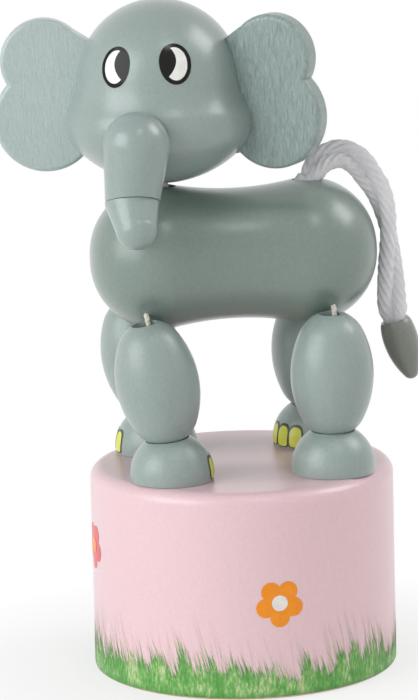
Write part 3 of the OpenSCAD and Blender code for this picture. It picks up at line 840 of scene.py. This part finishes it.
def join(parts):
    """One set of points and faces from several."""
    points, faces = [], []
    for p, f in parts:
        start = len(points)
        points += p
        faces += [tuple(start + i for i in face) for face in f]
    return points, faces


# Eyes: black ovals, each with a white crescent on its outer side
HEAD = head_outline()
# Facing in degrees, height, side of the white
EYES = {"left": (27.1, 20.5 * MM, 1), "right": (-18.4, 20.35 * MM, -1)}
EYE_W, EYE_T = 5.25 * MM, 6.75 * MM
# The white, in shares of the eye's size, and the angles of its horns
WHITE_W, WHITE_T, WHITE_BULGE = 0.74, 0.8, 0.05
WHITE_HIGH, WHITE_LOW = math.radians(105), math.radians(-131)
# Thickness of a coat of paint, and of two
INK_LIFT, TOP_INK_LIFT = 0.04 * MM, 0.08 * MM


def crescent(outline, angle0, s0, side, lift):
    """The white of an eye: from an arc of an inner oval back to the edge of the dark pupil."""
    points, faces = [], []
    steps, bands = 40, 6
    half_w, half_t = WHITE_W * EYE_W / 2, WHITE_T * EYE_T / 2
    horns = [Vector((half_w * math.cos(a), half_t * math.sin(a))) for a in (WHITE_HIGH, WHITE_LOW)]
    bulge = WHITE_BULGE * EYE_W / 2 - (horns[0].x + horns[1].x) / 2
    for i in range(steps + 1):
        t = i / steps
        a = WHITE_HIGH + (WHITE_LOW - WHITE_HIGH) * t
        outer = Vector((half_w * math.cos(a), half_t * math.sin(a)))
        inner = horns[0].lerp(horns[1], t) + Vector((4 * bulge * t * (1 - t), 0))
        for k in range(bands + 1):
            p = inner.lerp(outer, k / bands)
            points.append(outline.map(angle0, s0, side * p.x, p.y, lift))
    for i in range(steps):
        for k in range(bands):
            a = i * (bands + 1) + k
            face = (a, a + bands + 1, a + bands + 2, a + 1)
            faces.append(face if side > 0 else tuple(reversed(face)))
    return points, faces


def add_eyes():
    for name, (facing, height, side) in EYES.items():
        angle, s0 = math.radians(facing), HEAD.at_height(height)
        points, faces = star_patch(HEAD, angle, s0, oval(EYE_W, EYE_T), INK_LIFT, 8, 64)
        mesh_object("eye_" + name, points, faces, BLACK, None, "head")
        points, faces = crescent(HEAD, angle, s0, side, TOP_INK_LIFT)
        mesh_object("eye_white_" + name, points, faces, WHITE, None, "head")


add_eyes()


# Toenails: three painted nails on one side of each foot
NAIL_FACING = {"front_left": 93, "front_right": -100, "rear_left": 165, "rear_right": -58}
NAIL_W, NAIL_T, NAIL_STEP, NAIL_FOOT = 2.65 * MM, 4.0 * MM, 2.7 * MM, 0.25 * MM
# The dark outline is wider than the nail's place, and the lime in it is smaller and lower
LINE_MORE_W, LIME_LESS_W, LIME_LESS_T, LIME_DROP = 0.25 * MM, 0.4 * MM, 0.65 * MM, 0.14 * MM


def nail_reach(wide, tall):
    """A nail's edge: straight sides, a flat foot and a rounded top."""
    def reach(a):
        c, s = math.cos(a), math.sin(a)
        power = 6 if s < 0 else 2.6
        return 1 / ((abs(c) / (wide / 2)) ** power + (abs(s) / (tall / 2)) ** power) ** (1 / power)
    return reach


def add_nails():
    for corner, facing in NAIL_FACING.items():
        outline = foot_outline(corner)
        dark, lime = [], []
        s0 = NAIL_FOOT + NAIL_T / 2
        line_edge = nail_reach(NAIL_W + LINE_MORE_W, NAIL_T)
        lime_edge = nail_reach(NAIL_W - LIME_LESS_W, NAIL_T - LIME_LESS_T)
        for k in (-1, 0, 1):
            angle = math.radians(facing) + k * NAIL_STEP / FOOT_R
            dark.append(star_patch(outline, angle, s0, line_edge, INK_LIFT, 6, 40))
            lime.append(star_patch(outline, angle, s0 - LIME_DROP, lime_edge, TOP_INK_LIFT, 6, 40))
        mesh_object("nail_line_" + corner, *join(dark), NAIL_LINE, None, "foot_" + corner)
        mesh_object("nails_" + corner, *join(lime), LIME, None, "foot_" + corner)


add_nails()


# Flowers round the drum: facing in degrees, height in millimetres, petals, middle
DRUM = drum_outline()
FLOWERS = [
    (5.6, 15.6, ORANGE, PALE), (-85, 21.3, CORAL, ORANGE),
    (95, 21.3, CORAL, ORANGE), (-174, 15.6, ORANGE, PALE),
]
PETALS, PETAL_OUT, PETAL_R, MIDDLE_R = 5, 2.35 * MM, 1.62 * MM, 1.3 * MM
PETAL_LIFT, MIDDLE_LIFT = 0.03 * MM, 0.06 * MM


def flower_reach(a):
    """A flower's edge: round petals, one of them pointing down."""
    best = 0.9 * PETAL_OUT
    for k in range(PETALS):
        b = math.radians(-90 + 360 / PETALS * k)
        petal = (PETAL_OUT * math.cos(b), PETAL_OUT * math.sin(b))
        best = max(best, circle_edge(a, petal, PETAL_R))
    return best


def add_flowers():
    middle_edge = oval(2 * MIDDLE_R, 2 * MIDDLE_R)
    for i, (facing, height, petal_ink, middle_ink) in enumerate(FLOWERS):
        s0 = DRUM.at_height(height * MM)
        angle = math.radians(facing)
        petals = star_patch(DRUM, angle, s0, flower_reach, PETAL_LIFT, 6, 120)
        middle = star_patch(DRUM, angle, s0, middle_edge, MIDDLE_LIFT, 4, 40)
        mesh_object(f"flower_{i + 1}", *petals, petal_ink, None, "base")
        mesh_object(f"flower_middle_{i + 1}", *middle, middle_ink, None, "base")


add_flowers()


# Grass: brush strokes round the drum's foot, over a solid ring
GRASS_FOOT, GRASS_SOLID = 1.0 * MM, 2.6 * MM
RIM_ROWS, RIM_STEPS, RIM_LIFT = 14, 240, 0.05 * MM
GREEN_LIFT, FAINT_LIFT = (0.03 * MM, 0.06 * MM), 0.02 * MM
LEAST_TURF = 2.6
STROKE_STEPS = 7
GRASS_SEED, SLOW_WAVE, QUICK_WAVE = 5, (2.6, 1), (15, 4)
# How many strokes of a kind; their mean height in millimetres and how far it waves slowly and
# quickly round the drum; the spread of their heights; their widths; their lean and its spread;
# the share of the height over which they keep their width
Strokes = collections.namedtuple("Strokes", "count level heights widths lean full")
TURF = Strokes(1700, (4.9, 2.4, 4.4), (0.7, 1.15), (0.22, 0.6), (-0.14, 0.07), 0.45)
BLADES = Strokes(700, (6.3, 2.4, 3.5), (0.75, 1.3), (0.16, 0.36), (-0.18, 0.06), 0.2)
WISPS = Strokes(420, (8.5, 3, 0), (0.7, 1.5), (0.12, 0.26), (-0.16, 0.06), 0.2)


def stroke(outline, angle, tall, wide, lean, lift, full):
    """A stroke that stays wide for part of its height and narrows to a tip leaning to one side."""
    points, faces = [], []
    for i in range(STROKE_STEPS + 1):
        t = i / STROKE_STEPS
        half = wide / 2 * (1 - max(0.0, t - full) / (1 - full))
        mid = lean * tall * t * t
        for side in (-1, 1):
            points.append(outline.map(angle, GRASS_FOOT + tall * t, mid + side * half, 0, lift))
    for i in range(STROKE_STEPS):
        a = 2 * i
        faces.append((a, a + 1, a + 3, a + 2))
    return points, faces


def add_grass():
    rng = random.Random(GRASS_SEED)

    def wave(angle, rate, seed):
        return noise.noise(Vector((rate * math.cos(angle), rate * math.sin(angle), seed)))

    def level(kind, angle):
        mean, slow, quick = kind.level
        return mean + slow * wave(angle, *SLOW_WAVE) + quick * wave(angle, *QUICK_WAVE)

    def lean(kind):
        mean, spread = kind.lean
        return mean + rng.uniform(-spread, spread)

    green, faint = [], []
    for i in range(TURF.count):
        angle = 2 * math.pi * (i + rng.random()) / TURF.count
        tall = max(LEAST_TURF, level(TURF, angle) * rng.uniform(*TURF.heights)) * MM
        leaning, wide = lean(TURF), rng.uniform(*TURF.widths) * MM
        lift = rng.uniform(*GREEN_LIFT)
        green.append(stroke(DRUM, angle, tall, wide, leaning, lift, TURF.full))
    for kind, strokes in ((BLADES, green), (WISPS, faint)):
        for i in range(kind.count):
            angle = rng.uniform(0, 2 * math.pi)
            leaning = lean(kind)
            tall = level(kind, angle) * rng.uniform(*kind.heights) * MM
            wide = rng.uniform(*kind.widths) * MM
            lift = rng.uniform(*GREEN_LIFT) if strokes is green else FAINT_LIFT
            strokes.append(stroke(DRUM, angle, tall, wide, leaning, lift, kind.full))
    ring = []
    for i in range(RIM_ROWS):
        s = GRASS_FOOT + (GRASS_SOLID - GRASS_FOOT) * i / (RIM_ROWS - 1)
        ring += [DRUM.point(2 * math.pi * k / RIM_STEPS, s, RIM_LIFT) for k in range(RIM_STEPS)]
    green.append((ring, ring_faces(RIM_ROWS, RIM_STEPS, caps=False)))
    mesh_object("grass", *join(green), GRASS, None, "base")
    mesh_object("grass_faint", *join(faint), FAINT, None, "base")


add_grass()


# Floor, world and lamps
FLOOR_HALF, FLOOR_DROP = 6.0, 0.02 * MM
FADE_START, FADE_STOP, FADE_NEAR = 25 * MM, 60 * MM, 0.72
TENT_LOW, TENT_HIGH, TENT_BRIGHT, TENT_DARK = 0.12, 0.5, 1.38, 0.03
TENT_LEFT, TENT_RIGHT = 1.2, 0.8
AIM = Vector((0, 0, 60 * MM))


def seen_ray(n):
    """1 for the rays of the camera, of gloss and of glass, which see the white background."""
    path = n.add("ShaderNodeLightPath")
    seen = path.outputs["Is Camera Ray"]
    for kind in ("Is Glossy Ray", "Is Transmission Ray"):
        seen = n.calc("MAXIMUM", seen, path.outputs[kind])
    return seen


def add_floor():
    """A floor that is pure white away from the object, with the object's shadow near it."""
    n = Surface("floor")
    n.set(Base_Color=linear(250, 250, 250), Roughness=0.9, Specular_IOR_Level=0.1)
    light = n.add("ShaderNodeEmission")
    light.inputs["Color"].default_value = (1, 1, 1, 1)
    light.inputs["Strength"].default_value = 1.0
    length = n.add("ShaderNodeVectorMath", operation="LENGTH")
    n.link(n.coords(), length.inputs[0])
    fade = n.span(length.outputs["Value"], FADE_NEAR, 1.0, FADE_START, FADE_STOP)
    white = n.calc("MULTIPLY", seen_ray(n), fade)
    n.link(n.blend(white, n.shader.outputs["BSDF"], light.outputs["Emission"]),
           n.out.inputs["Surface"])
    mesh = bpy.data.meshes.new("floor")
    corners = [(x * FLOOR_HALF, y * FLOOR_HALF, -FLOOR_DROP)
               for x, y in ((-1, -1), (1, -1), (1, 1), (-1, 1))]
    mesh.from_pydata(corners, [], [(0, 1, 2, 3)])
    mesh.materials.append(n.material)
    floor = bpy.data.objects.new("floor", mesh)
    scene.collection.objects.link(floor)


def add_world():
    """A light tent that is bright at the sides and dark overhead, white to the camera."""
    world = bpy.data.worlds.new("studio")
    n = Nodes(world)
    out = n.add("ShaderNodeOutputWorld")
    x, _, z = n.axes(n.add("ShaderNodeTexCoord").outputs["Generated"])
    rise = n.span(z, TENT_BRIGHT, TENT_DARK, TENT_LOW, TENT_HIGH)
    across = n.span(x, TENT_LEFT, TENT_RIGHT, -1, 1)
    soft = n.add("ShaderNodeBackground")
    soft.inputs["Color"].default_value = (1, 0.98, 0.94, 1)
    n.link(n.calc("MULTIPLY", rise, across), soft.inputs["Strength"])
    white = n.add("ShaderNodeBackground")
    white.inputs["Strength"].default_value = 1.0
    white.inputs["Color"].default_value = (1, 1, 1, 1)
    n.link(n.blend(seen_ray(n), soft.outputs["Background"], white.outputs["Background"]),
           out.inputs["Surface"])
    scene.world = world


def add_lamp(name, azimuth, elevation, size, power, colour=(1, 1, 1)):
    """A soft box a metre from the object. Azimuth is from -Y towards +X."""
    a, e = math.radians(azimuth), math.radians(elevation)
    away = Vector((math.sin(a) * math.cos(e), -math.cos(a) * math.cos(e), math.sin(e)))
    data = bpy.data.lights.new(name, "AREA")
    data.shape = "RECTANGLE"
    data.size, data.size_y = size
    data.energy = power
    data.color = colour
    lamp = bpy.data.objects.new(name, data)
    lamp.location = AIM + away
    lamp.rotation_euler = (-away).to_track_quat("-Z", "Y").to_euler()
    scene.collection.objects.link(lamp)


add_floor()
add_world()
add_lamp("left_box", -64, 24, (0.8, 0.7), 5.9, (0.97, 1, 1))
add_lamp("right_box", 90, 43, (0.46, 0.46), 3.3)
add_lamp("front_box", 13, 57, (0.14, 0.2), 0.65)

scene.view_settings.view_transform = "Standard"
